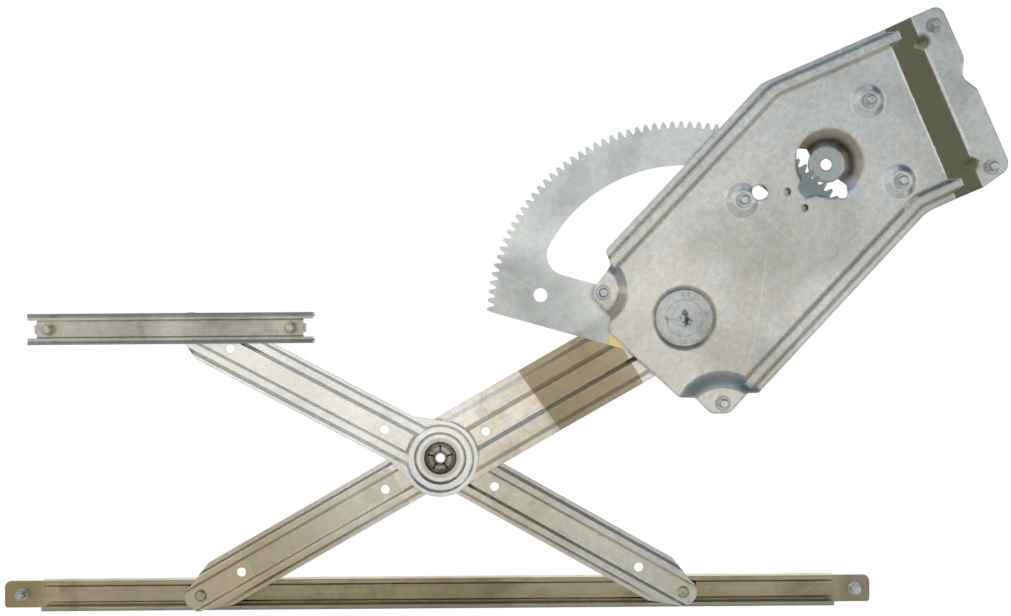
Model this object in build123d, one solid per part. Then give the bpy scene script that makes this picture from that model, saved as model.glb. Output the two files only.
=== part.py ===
from build123d import *

import math
import os

# Scissor window regulator for a front door, drawn with the glass near the bottom of its travel.
# Every sub-part is drawn in the press frame: X to the right, Y up, Z towards the door panel,
# with the main pivot axis at X = Y = 0 and the panel's mounting face at Z = 0. The placed()
# function turns the press frame into the part's own frame: +Z up, the panel on the -Y side
# and the origin at the locating stud. All sizes are in millimetres and degrees.

# ---- linkage -------------------------------------------------------------------------------
ARM = 174.0                 # pivot to scissor centre, and centre to each end pin
REST_ANGLE = 29.6           # slope of both arms as drawn
IDLER_BEND = 1.5            # the idler's upper half lies this much flatter than its lower half
RUNNING_GAP = 0.05          # radial clearance of a turning joint
FACE_GAP = 0.1              # axial clearance between faces that turn on each other
SHOE_GAP = 0.4              # clearance of a sliding shoe in its rail
GUIDE_PLAY = 0.9            # clearance across the guide rail: the bend lets the shoe rise and sink

# ---- sheet gauges --------------------------------------------------------------------------
PLATE_T = 1.5
SECTOR_T = 2.5
ARM_T = 2.0
RAIL_T = 1.5

# ---- levels of the front faces of the sheets -----------------------------------------------
SEAT = 0.0                  # lugs and end flange, against the door panel
PLATE_FACE = -8.0           # main field of the base plate
RIB_TOP = -4.5
MOTOR_BOSS_TOP = -4.0
PIVOT_SEAT = -10.0
BOWL_FLOOR = -19.0
PIVOT_FLANGE_T = 0.8
PIVOT_WASHER_T = 0.5
SECTOR_PAD = PIVOT_SEAT - PLATE_T - PIVOT_FLANGE_T - FACE_GAP - PIVOT_WASHER_T
SECTOR_JOGGLE = 2.1         # the toothed ring lies this much behind the pad at the pivot
SECTOR_FACE = SECTOR_PAD - SECTOR_JOGGLE
ARM_PAD = SECTOR_PAD - SECTOR_T
ARM_RIDGE = SECTOR_FACE - SECTOR_T
RIDGE_H = 2.5               # height of the stiffening ridges of the arms
CRANK_DROP = 4.5            # the lift arm steps back between its pivot and the scissor centre
ARM_MID_RIDGE = ARM_RIDGE - CRANK_DROP
HUB_WASHER_T = 0.8
HUB_RING = ARM_MID_RIDGE + FACE_GAP + HUB_WASHER_T + ARM_T
DISC_STEP = 2.5             # the ring round the hub is set back from the disc
DISC_FACE = HUB_RING + DISC_STEP
UPPER_WEB_H = 2.5
UPPER_RIM_H = 2.0
HUB_REAR_SEAT = ARM_MID_RIDGE - ARM_T - FACE_GAP - HUB_WASHER_T
LOWER_CLEAR = 0.5           # lower idler ridges to the back of the lift arm
LOWER_RIDGE = ARM_MID_RIDGE - RIDGE_H - ARM_T - LOWER_CLEAR
LOWER_WEB = LOWER_RIDGE - RIDGE_H
END_WEB = LOWER_WEB         # both lower arm ends run in one rail, so their webs are level
RAIL_CLEAR = 0.5            # arm to the lips of the rail behind it
LIFT_RAIL_FACE = END_WEB - ARM_T - RAIL_CLEAR
FOOT = -56.0                # underside of the columns that the pressed sheets are cut from

# ---- base plate ----------------------------------------------------------------------------
# Corners of the blank as (x, y, corner radius), clockwise from the tip of the end flange.
PLATE_CORNERS = [
    (156.8, 190.4, 6.0), (171.2, 157.5, 12.0), (169.3, 146.0, 7.0), (178.9, 138.6, 5.0),
    (199.2, 90.5, 7.5), (182.0, 78.4, 20.0), (149.4, 64.0, 22.0), (45.2, -46.2, 3.0),
    (37.4, -46.2, 3.0), (26.2, -58.4, 6.0), (14.4, -58.4, 6.0), (5.6, -48.8, 3.0),
    (-3.8, -48.8, 4.0), (-46.0, -9.4, 2.0), (-46.0, 1.5, 4.0), (-58.4, 15.3, 6.5),
    (-45.2, 32.8, 4.0), (-48.2, 42.2, 3.0), (48.4, 144.0, 16.0),
]
LOCATING_STUD = (-50.4, 15.8)
PANEL_STUDS = [LOCATING_STUD, (22.3, -52.2), (187.2, 90.8), (152.5, 177.7)]
MOTOR_STUDS = [(113.9, 132.3), (133.1, 82.9), (36.2, 71.9)]
# Pressed lug fields: centre, radius of the flat seat, width of the slope round it.
LEFT_LUG = ((-57.1, 17.5), 15.5, 7.0)
BOTTOM_LUG = ((22.4, -64.3), 21.8, 9.5)
FLANGE_DIRECTION = 22.6     # direction from the main field towards the end flange
FLANGE_START = 182.4        # foot of the slope, measured from the pivot along that direction
FLANGE_SLOPE = 15.6
GUSSET_TILT = 15.0          # slope of the bottom of each V-shaped fold
GUSSET_REACH = 4.7          # how far each fold runs into the flange
GUSSET_HALF_WIDTH = 5.0     # where it crosses the bend of the flange
GUSSET_OFFSETS = [18.5, 98.2]
# Ribs: insets of the middle line from the two edges it follows, and width of the top.
UPPER_RIB = ((8.5, 7.0), 4.9)
LOWER_RIB = ((8.2, 8.2), 4.5)
RIB_SLOPE = 2.3
RIB_BEND = 20.0             # radius of a rib's middle line where the edge turns
RIB_OVERRUN = 12.0          # a rib runs this far past its corners, into a lug or off the blank
MOTOR_BOSS_R = 6.5
MOTOR_BOSS_SLOPE = 3.9
PIVOT_SEAT_R = 17.2
PIVOT_SEAT_SLOPE = 2.6

# ---- pinion bowl ---------------------------------------------------------------------------
MODULE = 1.75
WHEEL_TEETH = 137           # teeth in a full turn of the sector
PINION_TEETH = 12
PINION_DIRECTION = 46.5
BOWL_FLOOR_R = 10.9
BOWL_MOUTH_R = 21.2
PINION_BORE_R = 3.6
# Corners of the window in the bowl wall, from the pinion axis.
WINDOW_CORNERS = [
    (-20.1, 9.2, 1.5), (-20.1, -1.1, 4.0), (-16.5, -9.6, 2.0), (-19.9, -15.2, 2.0),
    (-14.2, -21.8, 2.5), (-6.5, -19.3, 2.5), (0.5, -21.6, 2.0), (11.0, -21.6, 2.5),
    (11.3, -13.2, 1.5), (5.0, -7.0, 1.0), (-8.0, 3.0, 1.0), (-12.7, 9.3, 1.5),
]
WINDOW_RIM = 0.5            # floor left standing round the pinion bearing
OVAL_HOLE = ((46.8, 76.9), 10.6, 8.8, 15.0)
TOOLING_HOLES = [(64.0, 77.3), (74.6, 67.3)]
TOOLING_HOLE_R = 2.1

# ---- main pivot ----------------------------------------------------------------------------
PIVOT_JOURNAL_R = 9.0
PIVOT_STAKE_R = 11.2
PIVOT_FLANGE_R = 15.0
PIVOT_HEAD_R = 14.0
PIVOT_HEAD_T = 2.0
PIVOT_COLLAR_R = 16.1
PIVOT_COLLAR_T = 1.4
BUSH_T = 1.5

# ---- sector gear ---------------------------------------------------------------------------
PRESSURE_ANGLE = 20.0
SECTOR_TEETH = 56
SECTOR_LEFT_END = 178.3     # direction of the left end of the toothing
RING_INNER_R = 94.5
SPOKE_EDGE = 28.4           # distance of the outer edge of each spoke from the pivot
SPOKE_WIDTH = 34.2
SECTOR_HUB_R = 33.0
SECTOR_WINDOW_HUB_R = 40.0
SECTOR_WINDOW_ROUND = 13.0
SECTOR_PAD_HALF = 33.0
SECTOR_BEND = 46.0          # the joggle starts here, left and right of the pivot
SECTOR_HOLE = (-88.4, 14.8)
SECTOR_HOLE_R = 4.35
SECTOR_PAD_TOP = 52.0       # the raised pad ends this far above the pivot
SECTOR_RIVETS = 4
SECTOR_RIVET_R = 2.5
SECTOR_RIVET_HEAD_R = 4.1
SECTOR_RIVET_HEAD_H = 1.2
SECTOR_RIVET_EDGE = 0.1     # rivet heads stop this far inside the edge of the lift arm's pad

# ---- arms ----------------------------------------------------------------------------------
# Half widths across an arm: web, top of inner slope, end of ridge, foot of outer slope, edge.
WIDE_PROFILE = (5.4, 8.4, 16.6, 19.2, 22.7)
NARROW_PROFILE = (6.0, 7.6, 11.4, 13.2, 15.4)
UPPER_PROFILE = (5.6, 7.4, 11.6, 13.4, 15.4)
CRANK_START = 45.0          # first crank, from the main pivot
CRANK_END = 104.0
SECOND_CRANK_START = 205.0
SECOND_CRANK_END = 312.0
LIFT_ARM_END_R = 31.0
LIFT_ARM_PAD_R = 26.0
LIFT_ARM_NECK = 20.0        # length over which the lift arm narrows before the scissor centre
TAPER_START = 16.5          # the end of an arm narrows from here to its pin
ARM_END_R = 8.7
LIFT_ARM_NOSE = 1.7         # the round end of the lift arm lies this far past its pin
IDLER_UPPER_TAPER = 12.0
IDLER_UPPER_END_R = 10.0
IDLER_NECK = 27.0           # the upper idler widens towards its disc from here
ARM_HOLE_R = 2.9
LIFT_ARM_HOLES = [141.5, 214.0, 318.5]
IDLER_UPPER_HOLES = [38.8, 146.4]
IDLER_LOWER_HOLES = [38.5, 142.0]

# ---- scissor hub ---------------------------------------------------------------------------
DISC_R = 23.5
DISC_RIM = 2.4
DISC_SLOPE = 1.4
DISC_SET = 0.2              # the disc is pressed this much deeper than the grooves of the arm
HUB_RING_R = 14.6
HUB_SEAT_R = 17.2
HUB_REAR_SEAT_R = 14.2
HUB_R = 10.0
HUB_WALL = 1.4
HUB_FLANGE_R = 13.4
HUB_FLANGE_T = 1.5
HUB_BORE_R = 3.5
HUB_PROUD = 0.8
HUB_PETALS = 5
HUB_SLIT = 0.9

# ---- rails and shoes -----------------------------------------------------------------------
RAIL_H = 19.0
RAIL_LIP = 2.6
LIFT_RAIL_DEPTH = 10.0
LIFT_RAIL_LEFT = -403.3
LIFT_RAIL_RIGHT = 95.1
LIFT_TAB_LEFT = 25.1
LIFT_TAB_RIGHT = 23.8
LIFT_TAB_H = 16.8
LIFT_TAB_ROUND = 4.0
LIFT_STUD_REACH = 14.0      # from the end of the channel to the stud on its tab
LIFT_STUD_LENGTH = 10.0
GUIDE_RAIL_DEPTH = 12.0
GUIDE_RAIL_LEFT = -402.2
GUIDE_RAIL_RIGHT = -227.8
RAIL_WEB_HALF = 4.6          # half width of the raised middle of a rail's web
RAIL_WEB_SLOPE = 0.9
RAIL_SHOULDER = 1.0         # the web's sides lie this much inside its middle
RAIL_BEAD = 0.8
RAIL_BEAD_W = 1.6
GUIDE_NOTCH = 5.8
GUIDE_STUD_INSET = 13.4
SHOE_LENGTH = 17.0
SHOE_ROUND = 3.0
SHOE_NECK_R = 6.0
PIN_R = 3.1
PIN_HEAD_R = 3.8
PIN_HEAD_H = 1.3
PIN_FOOT_R = 5.6
PIN_FOOT_T = 1.5

# ---- studs ---------------------------------------------------------------------------------
STUD_R = 2.9
STUD_LENGTH = 8.0
STUD_TIP = 0.8
STUD_HEAD_R = 3.9           # clinched flush into its hole in the sheet

# ---- places that follow from the sizes -----------------------------------------------------
PITCH_R = MODULE * WHEEL_TEETH / 2
TIP_R = PITCH_R + MODULE
ROOT_R = PITCH_R - 1.25 * MODULE
PINION_CENTRE_R = MODULE * (WHEEL_TEETH + PINION_TEETH) / 2
SLOPE_COS = math.cos(math.radians(REST_ANGLE))
SLOPE_SIN = math.sin(math.radians(REST_ANGLE))
CENTRE = (-ARM * SLOPE_COS, -ARM * SLOPE_SIN)
LIFT_END = (-2 * ARM * SLOPE_COS, -2 * ARM * SLOPE_SIN)
IDLER_END = (0.0, -2 * ARM * SLOPE_SIN)
UPPER_ANGLE = 180.0 - REST_ANGLE + IDLER_BEND
GUIDE_END = (
    CENTRE[0] + ARM * math.cos(math.radians(UPPER_ANGLE)),
    CENTRE[1] + ARM * math.sin(math.radians(UPPER_ANGLE)),
)
RAIL_Y = LIFT_END[1]
GUIDE_Y = GUIDE_END[1]
SECTOR_RIVET_CIRCLE = LIFT_ARM_PAD_R - SECTOR_RIVET_HEAD_R - SECTOR_RIVET_EDGE
BUSH_R = PIVOT_JOURNAL_R + RUNNING_GAP + BUSH_T
OVERRUN = 1.0               # cutters and columns run this far past the faces they meet


def polar(radius, angle):
    """Point at a distance and direction from the pivot."""
    return (radius * math.cos(math.radians(angle)), radius * math.sin(math.radians(angle)))


PINION = polar(PINION_CENTRE_R, PINION_DIRECTION)


def placed(solid):
    """Move a sub-part from the press frame to the part's own frame."""
    to_stud = Pos(-LOCATING_STUD[0], -LOCATING_STUD[1], 0)
    return Rot(90, 0, 0) * (to_stud * solid)


def rounded_face(corners):
    """Flat face with straight sides and corners (x, y, radius), each rounded by its radius."""
    face = make_face(Polyline([(x, y) for x, y, radius in corners], close=True))
    for x, y, radius in corners:
        corner = face.vertices().sort_by_distance((x, y, 0))[0]
        face = fillet(corner, radius)
    return face


def column(face, top, foot=FOOT):
    """Straight column on a face of the XY plane, between two levels."""
    return extrude(Pos(0, 0, foot) * face, amount=top - foot)


def turned(points):
    """Solid of revolution about Z from (radius, level) points."""
    face = make_face(Polyline([(r, z) for r, z in points], close=True))
    return revolve(Plane.XZ * face, Axis.Z)


def raised_cone(top_r, slope, top, field):
    """Round boss with a flat top, whose side spreads by `slope` on its way to the field."""
    spread = slope / (top - field)
    foot = field - OVERRUN
    foot_r = top_r + spread * (top - foot)
    return turned([(0, top), (top_r, top), (foot_r, foot), (0, foot)])


def sunk_cone(floor_r, slope, floor, field):
    """Cutter for a round recess with a flat floor, whose side spreads up to the field."""
    spread = slope / (field - floor)
    mouth = field + OVERRUN
    mouth_r = floor_r + spread * (mouth - floor)
    return turned([(0, floor), (floor_r, floor), (mouth_r, mouth), (0, mouth)])


def pressed(front, blank, gauge):
    """Sheet of one gauge: its front is the top of `front`, cut to the outline of the blank."""
    return (front & column(blank, OVERRUN, FOOT + 2 * OVERRUN)) - Pos(0, 0, -gauge) * front


def drilled(sheet, centres, radius):
    """Sheet with round holes right through it."""
    for x, y in centres:
        sheet -= Pos(x, y, 0) * column(Circle(radius), 2 * OVERRUN)
    return sheet


def tube(outer_r, inner_r, top, bottom):
    """Ring between two levels."""
    return column(Circle(outer_r) - Circle(inner_r), top, bottom)


# ---- base plate ----------------------------------------------------------------------------
def inset_path(corners, insets):
    """Line inside the edges between the corners, at its own distance from each edge."""
    lines = []
    for (x0, y0, _), (x1, y1, _), inset in zip(corners, corners[1:], insets):
        along = Vector(x1 - x0, y1 - y0).normalized()
        inwards = Vector(along.Y, -along.X) * inset
        lines.append((Vector(x0, y0) + inwards, Vector(x1, y1) + inwards, along))
    (start, _, first), (near, end, second) = lines
    reach = (near - start).cross(second).Z / first.cross(second).Z
    points = [start - first * RIB_OVERRUN, start + first * reach, end + second * RIB_OVERRUN]
    return FilletPolyline(points, radius=RIB_BEND)


def rib_column(corners, insets, top_width):
    """Column under a pressed rib that follows two edges of the plate."""
    path = inset_path(corners, insets)
    tangent = path % 0
    section_plane = Plane(origin=path @ 0, x_dir=(-tangent.Y, tangent.X, 0), z_dir=tangent)
    spread = RIB_SLOPE / (RIB_TOP - PLATE_FACE)
    foot = PLATE_FACE - OVERRUN
    half_top = top_width / 2
    half_foot = half_top + spread * (RIB_TOP - foot)
    outline = Polyline(
        (-half_foot, foot), (-half_top, RIB_TOP), (half_top, RIB_TOP), (half_foot, foot), close=True
    )
    return sweep(section_plane * make_face(outline), path=path)


def gusset_cutter():
    """Cutter for a V-shaped fold across a bend, with its mouth at the origin."""
    depth = GUSSET_REACH * math.tan(math.radians(GUSSET_TILT))
    height = 4 * depth
    half = GUSSET_HALF_WIDTH * height / depth
    wedge = make_face(Polyline((0, 0), (-height, half), (-height, -half), close=True))
    return Rot(0, 90 - GUSSET_TILT, 0) * extrude(wedge, amount=4 * GUSSET_REACH, both=True)


def flange_column():
    """Column under the slope and the end flange, which rise to the seat level."""
    length = 400.0
    outline = Polyline(
        (FLANGE_START, PLATE_FACE),
        (FLANGE_START + FLANGE_SLOPE, SEAT),
        (FLANGE_START + length, SEAT),
        (FLANGE_START + length, FOOT),
        (FLANGE_START, FOOT),
        close=True,
    )
    profile = make_face(outline)
    bend = profile.vertices().sort_by_distance((FLANGE_START + FLANGE_SLOPE, SEAT, 0))[0]
    profile = fillet(bend, 3.0)
    block = extrude(Plane.XZ * profile, amount=length / 2, both=True)
    for offset in GUSSET_OFFSETS:
        block -= Pos(FLANGE_START + FLANGE_SLOPE + GUSSET_REACH, offset, SEAT) * gusset_cutter()
    return Rot(0, 0, FLANGE_DIRECTION) * block


def plate_front():
    """Column whose top is the pressed front of the base plate."""
    front = column(Pos(70, 65) * Rectangle(400, 400), PLATE_FACE)
    upper_edge = PLATE_CORNERS[-2:] + PLATE_CORNERS[:1]
    lower_edge = PLATE_CORNERS[5:8]
    front += rib_column(upper_edge, *UPPER_RIB)
    front += rib_column(lower_edge, *LOWER_RIB)
    front += flange_column()
    for centre, radius, slope in (LEFT_LUG, BOTTOM_LUG):
        front += Pos(*centre) * raised_cone(radius, slope, SEAT, PLATE_FACE)
    for x, y in MOTOR_STUDS:
        front += Pos(x, y) * raised_cone(MOTOR_BOSS_R, MOTOR_BOSS_SLOPE, MOTOR_BOSS_TOP, PLATE_FACE)
    front -= sunk_cone(PIVOT_SEAT_R, PIVOT_SEAT_SLOPE, PIVOT_SEAT, PLATE_FACE)
    bowl_slope = BOWL_MOUTH_R - BOWL_FLOOR_R
    front -= Pos(*PINION) * sunk_cone(BOWL_FLOOR_R, bowl_slope, BOWL_FLOOR, PLATE_FACE)
    return front


def base_plate():
    """Pressed steel plate with lugs, ribs, motor bosses, pivot seat and pinion bowl."""
    plate = pressed(plate_front(), rounded_face(PLATE_CORNERS), PLATE_T)
    window = rounded_face(WINDOW_CORNERS) - Circle(BOWL_FLOOR_R + WINDOW_RIM)
    plate -= Pos(*PINION) * column(window, 2 * OVERRUN)
    (x, y), length, width, tilt = OVAL_HOLE
    plate -= Pos(x, y) * Rot(0, 0, tilt) * column(SlotOverall(length, width), 2 * OVERRUN)
    plate = drilled(plate, TOOLING_HOLES, TOOLING_HOLE_R)
    plate = drilled(plate, [PINION], PINION_BORE_R)
    plate = drilled(plate, [(0, 0)], PIVOT_STAKE_R)
    return drilled(plate, PANEL_STUDS + MOTOR_STUDS, STUD_HEAD_R)


def stud(seat, sheet, length):
    """Clinched stud: a head flush with both sides of its sheet, and a shank with a chamfered tip."""
    tip_r = STUD_R - STUD_TIP
    return turned([
        (0, seat + length),
        (tip_r, seat + length),
        (STUD_R, seat + length - STUD_TIP),
        (STUD_R, seat),
        (STUD_HEAD_R, seat),
        (STUD_HEAD_R, seat - sheet),
        (0, seat - sheet),
    ])


def studs(places, seat, sheet, length):
    """Equal studs at several places, as separate solids."""
    return Compound(children=[Pos(x, y) * stud(seat, sheet, length) for x, y in places])


# ---- main pivot ----------------------------------------------------------------------------
def pivot_pin():
    """Shouldered pivot, staked into the plate, with a flange behind it and a rear head."""
    stake_top = PIVOT_SEAT + PIVOT_COLLAR_T + 0.2
    flange_front = PIVOT_SEAT - PLATE_T
    flange_back = flange_front - PIVOT_FLANGE_T
    head_front = ARM_PAD - ARM_T - FACE_GAP
    return turned([
        (0, stake_top),
        (PIVOT_STAKE_R, stake_top),
        (PIVOT_STAKE_R, flange_front),
        (PIVOT_FLANGE_R, flange_front),
        (PIVOT_FLANGE_R, flange_back),
        (PIVOT_JOURNAL_R, flange_back),
        (PIVOT_JOURNAL_R, head_front),
        (PIVOT_HEAD_R, head_front),
        (PIVOT_HEAD_R, head_front - PIVOT_HEAD_T),
        (0, head_front - PIVOT_HEAD_T),
    ])


def pivot_collar():
    """Ring that the staked end of the pivot is spread over."""
    return tube(PIVOT_COLLAR_R, PIVOT_STAKE_R, PIVOT_SEAT + PIVOT_COLLAR_T, PIVOT_SEAT)


def pivot_bush():
    """Sintered bush pressed through the sector and the lift arm."""
    return tube(BUSH_R, PIVOT_JOURNAL_R + RUNNING_GAP, SECTOR_PAD, ARM_PAD - ARM_T)


def pivot_washer():
    """Friction washer between the pivot's flange and the sector."""
    return tube(PIVOT_FLANGE_R, BUSH_R, SECTOR_PAD + PIVOT_WASHER_T, SECTOR_PAD)


# ---- sector gear ---------------------------------------------------------------------------
def involute(radius):
    """Half of the angle that a tooth takes up at a radius, in degrees."""
    base = math.radians(PRESSURE_ANGLE)
    here = math.acos(PITCH_R * math.cos(base) / radius)
    half_at_pitch = 90.0 / WHEEL_TEETH
    return half_at_pitch + math.degrees(math.tan(base) - base - math.tan(here) + here)


def sector_blank():
    """Outline of the sector: the toothed arc, both spokes and the hub."""
    pitch = 360.0 / WHEEL_TEETH
    edges = []
    last = None
    for tooth in range(SECTOR_TEETH):
        middle = SECTOR_LEFT_END - pitch * (tooth + 0.5)
        rising = [polar(r, middle + involute(r)) for r in (ROOT_R, PITCH_R, TIP_R)]
        falling = [polar(r, middle - involute(r)) for r in (TIP_R, PITCH_R, ROOT_R)]
        if last:
            edges.append(Line(last, rising[0]))
        edges += Polyline(rising + falling).edges()
        last = falling[-1]
    first = edges[0] @ 0
    reach = math.degrees(math.acos(SPOKE_EDGE / ROOT_R))
    right_foot = polar(SPOKE_EDGE, sector_right_end() - reach)
    left_foot = polar(SPOKE_EDGE, SECTOR_LEFT_END + reach)
    edges += [Line(last, right_foot), Line(right_foot, left_foot), Line(left_foot, first)]
    return make_face(edges) + Circle(SECTOR_HUB_R)


def sector_right_end():
    """Direction of the right end of the toothing."""
    return SECTOR_LEFT_END - 360.0 * SECTOR_TEETH / WHEEL_TEETH


def sector_window():
    """Opening between the ring, the spokes and the hub."""
    reach = math.degrees(math.acos(SPOKE_EDGE / ROOT_R))
    left_out = SECTOR_LEFT_END + reach - 90
    right_out = sector_right_end() - reach + 90
    inner = SPOKE_WIDTH - SPOKE_EDGE
    left_near = Vector(*polar(inner, left_out - 90))
    right_near = Vector(*polar(inner, right_out + 90))
    left_far = left_near + Vector(*polar(2 * RING_INNER_R, left_out))
    right_far = right_near + Vector(*polar(2 * RING_INNER_R, right_out))
    top = (0, 3 * RING_INNER_R)
    wedge = make_face(Polyline(left_near, left_far, top, right_far, right_near, close=True))
    window = (Circle(RING_INNER_R) & wedge) - Circle(SECTOR_WINDOW_HUB_R)
    return fillet(window.vertices(), SECTOR_WINDOW_ROUND)


def sector_front():
    """Column whose top is the front of the sector, with the raised pad at the pivot."""
    front = column(Rectangle(300, 300), SECTOR_FACE)
    pad = Polyline(
        (-SECTOR_BEND, SECTOR_FACE),
        (-SECTOR_PAD_HALF, SECTOR_PAD),
        (SECTOR_PAD_HALF, SECTOR_PAD),
        (SECTOR_BEND, SECTOR_FACE),
        (SECTOR_BEND, FOOT),
        (-SECTOR_BEND, FOOT),
        close=True,
    )
    pad_depth = SECTOR_HUB_R + OVERRUN + SECTOR_PAD_TOP
    block = extrude(Plane.XZ * make_face(pad), amount=pad_depth / 2, both=True)
    return front + Pos(0, SECTOR_PAD_TOP - pad_depth / 2, 0) * block


def sector_rivet_places():
    """Rivets on a circle about the pivot."""
    step = 360 / SECTOR_RIVETS
    return [polar(SECTOR_RIVET_CIRCLE, step * (k + 0.5) + REST_ANGLE) for k in range(SECTOR_RIVETS)]


def sector_gear():
    """Toothed sector that the pinion drives."""
    sector = pressed(sector_front(), sector_blank() - sector_window(), SECTOR_T)
    sector = drilled(sector, [SECTOR_HOLE], SECTOR_HOLE_R)
    sector = drilled(sector, [(0, 0)], BUSH_R)
    return drilled(sector, sector_rivet_places(), SECTOR_RIVET_R)


def sector_rivet():
    """Rivet through the sector and the pad of the lift arm."""
    flat_r = SECTOR_RIVET_HEAD_R - SECTOR_RIVET_HEAD_H
    bottom = ARM_PAD - ARM_T
    return turned([
        (0, SECTOR_PAD + SECTOR_RIVET_HEAD_H),
        (flat_r, SECTOR_PAD + SECTOR_RIVET_HEAD_H),
        (SECTOR_RIVET_HEAD_R, SECTOR_PAD),
        (SECTOR_RIVET_R, SECTOR_PAD),
        (SECTOR_RIVET_R, bottom),
        (SECTOR_RIVET_HEAD_R, bottom),
        (flat_r, bottom - SECTOR_RIVET_HEAD_H),
        (0, bottom - SECTOR_RIVET_HEAD_H),
    ])


def sector_rivets():
    """Rivets that hold the sector to the lift arm, as separate solids."""
    return Compound(children=[Pos(x, y) * sector_rivet() for x, y in sector_rivet_places()])


# ---- arms ----------------------------------------------------------------------------------
# An arm is drawn along +X with its first axis at the origin, then turned to its rest angle.
def ridged_section(profile, height):
    """Half section of an arm with its web at level 0: ridges `height` above web and edges."""
    web, inner, ridge, outer, edge = profile
    half = [(web, 0), (inner, height), (ridge, height), (outer, 0)]
    return arm_section(half, edge)


def upper_section(profile):
    """Section of the upper idler arm: raised web, grooves beside it, raised edges."""
    web, inner, groove, rim, edge = profile
    half = [(web, UPPER_WEB_H), (inner, 0), (groove, 0), (rim, UPPER_RIM_H)]
    return arm_section(half, edge)


def arm_section(half, edge):
    """Column section under half of an arm's surface and its mirror image."""
    wide = edge + 12
    last = half[-1][1]
    right = half + [(wide, last), (wide, FOOT)]
    left = [(-y, z) for y, z in reversed(right)]
    return make_face(Polyline(right + left, close=True))


def cranked_column(section, stations):
    """Column under an arm whose section runs through the stations (x, level)."""
    spans = []
    for (x0, z0), (x1, z1) in zip(stations, stations[1:]):
        plane = Plane(origin=(x0, 0, z0), x_dir=(0, 1, 0), z_dir=(1, 0, 0))
        spans.append(Part() + Solid.extrude((plane * section).face(), Vector(x1 - x0, 0, z1 - z0)))
    body = spans[0]
    for span in spans[1:]:
        body += span
    return body


def tapered_end(start, end, half_width, end_r, taper=TAPER_START):
    """Blank from a cross line to a round end at a pin, narrowing over the last stretch."""
    shoulder = end - taper
    bar = make_face(Polyline(
        (start, -half_width), (shoulder, -half_width), (end, -end_r),
        (end, end_r), (shoulder, half_width), (start, half_width), close=True
    ))
    return bar + Pos(end, 0) * Circle(end_r)


def lift_arm():
    """Lift arm, drawn from the main pivot to the pin of its shoe."""
    low = ARM_RIDGE - RIDGE_H
    mid = ARM_MID_RIDGE - RIDGE_H
    wide = cranked_column(
        ridged_section(WIDE_PROFILE, RIDGE_H),
        [(-40, low), (CRANK_START, low), (CRANK_END, mid), (ARM, mid)],
    )
    narrow = cranked_column(
        ridged_section(NARROW_PROFILE, RIDGE_H),
        [(ARM, mid), (SECOND_CRANK_START, mid), (SECOND_CRANK_END, END_WEB), (2 * ARM + 20, END_WEB)],
    )
    front = wide + narrow
    front += raised_cone(LIFT_ARM_PAD_R, ARM_PAD - low, ARM_PAD, low)
    front += Pos(ARM, 0) * raised_cone(HUB_SEAT_R, RIDGE_H, ARM_MID_RIDGE, mid)
    wide_half = WIDE_PROFILE[-1]
    narrow_half = NARROW_PROFILE[-1]
    neck_end = ARM + HUB_SEAT_R
    neck = neck_end - LIFT_ARM_NECK
    blank = Circle(LIFT_ARM_END_R)
    blank += make_face(Polyline(
        (0, -wide_half), (neck, -wide_half), (neck_end, -narrow_half),
        (neck_end, narrow_half), (neck, wide_half), (0, wide_half), close=True
    ))
    blank += tapered_end(ARM, 2 * ARM + LIFT_ARM_NOSE, narrow_half, ARM_END_R)
    arm = pressed(front, blank, ARM_T)
    arm = drilled(arm, [(x, 0) for x in LIFT_ARM_HOLES], ARM_HOLE_R)
    arm = drilled(arm, [(2 * ARM, 0)], PIN_R)
    arm = drilled(arm, [(ARM, 0)], HUB_R + RUNNING_GAP)
    arm = drilled(arm, [(0, 0)], BUSH_R)
    arm = Rot(0, 0, 180 + REST_ANGLE) * arm
    return drilled(arm, sector_rivet_places(), SECTOR_RIVET_R)


def disc_neck(reach, half_width, disc_r):
    """Blank between a disc and the arm, with sides that touch the disc."""
    touch = math.atan2(half_width, reach) + math.acos(disc_r / math.hypot(half_width, reach))
    x = disc_r * math.cos(touch)
    y = disc_r * math.sin(touch)
    return make_face(Polyline((reach, half_width), (x, y), (x, -y), (reach, -half_width), close=True))


def idler_arm_upper():
    """Upper half of the idler: a raised web and a dished disc round the hub."""
    front = cranked_column(upper_section(UPPER_PROFILE), [(0, DISC_FACE), (ARM + 20, DISC_FACE)])
    outside = DISC_R + 6
    rim_top = DISC_FACE + UPPER_RIM_H
    front += Pos(-outside / 2, 0) * column(Rectangle(outside, 2 * outside), rim_top)
    floor = DISC_FACE - DISC_SET
    front -= sunk_cone(DISC_R - DISC_RIM - DISC_SLOPE, DISC_SLOPE, floor, rim_top)
    front -= sunk_cone(HUB_RING_R, 1.6, HUB_RING, floor)
    half = UPPER_PROFILE[-1]
    blank = Circle(DISC_R) + disc_neck(IDLER_NECK, half, DISC_R)
    blank += tapered_end(0, ARM, half, IDLER_UPPER_END_R, IDLER_UPPER_TAPER)
    arm = pressed(front, blank, ARM_T)
    arm = drilled(arm, [(x, 0) for x in IDLER_UPPER_HOLES], ARM_HOLE_R)
    arm = drilled(arm, [(ARM, 0)], PIN_R)
    arm = drilled(arm, [(0, 0)], HUB_R)
    return Pos(*CENTRE) * Rot(0, 0, UPPER_ANGLE) * arm


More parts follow.
